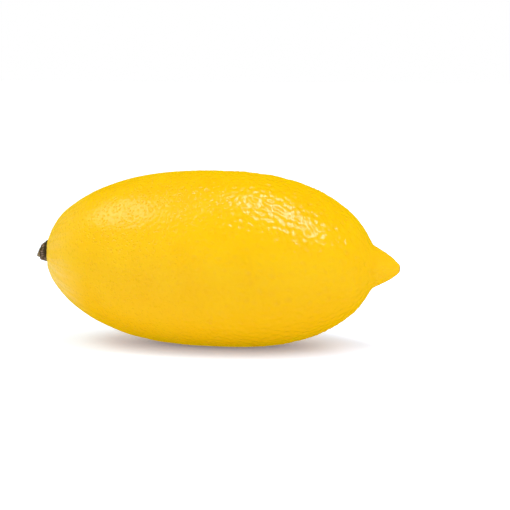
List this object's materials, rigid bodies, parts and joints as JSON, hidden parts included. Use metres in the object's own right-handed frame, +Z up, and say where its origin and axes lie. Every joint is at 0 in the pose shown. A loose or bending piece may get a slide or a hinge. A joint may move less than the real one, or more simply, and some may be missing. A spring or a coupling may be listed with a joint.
{
  "type": "lemon",
  "caption": "Whole ripe lemon lying on its side, with a pitted yellow rind, a blunt nipple at the blossom end and a dried button at the stem end.",
  "frame": {"origin": "centre of the small flat spot under the fruit, which it rests on", "axes": "+X from the stem end to the blossom end along the fruit's length, +Z up with the fruit lying on its side"},
  "size_m": [0.1038, 0.0495, 0.0492],
  "materials": {
    "rind": "satin",
    "dried_calyx": "matte",
    "broken_stem": "matte"
  },
  "bodies": {
    "root": {"fruit": "rind", "calyx": "dried_calyx", "stem_stub": "broken_stem"}
  },
  "joints": []
}
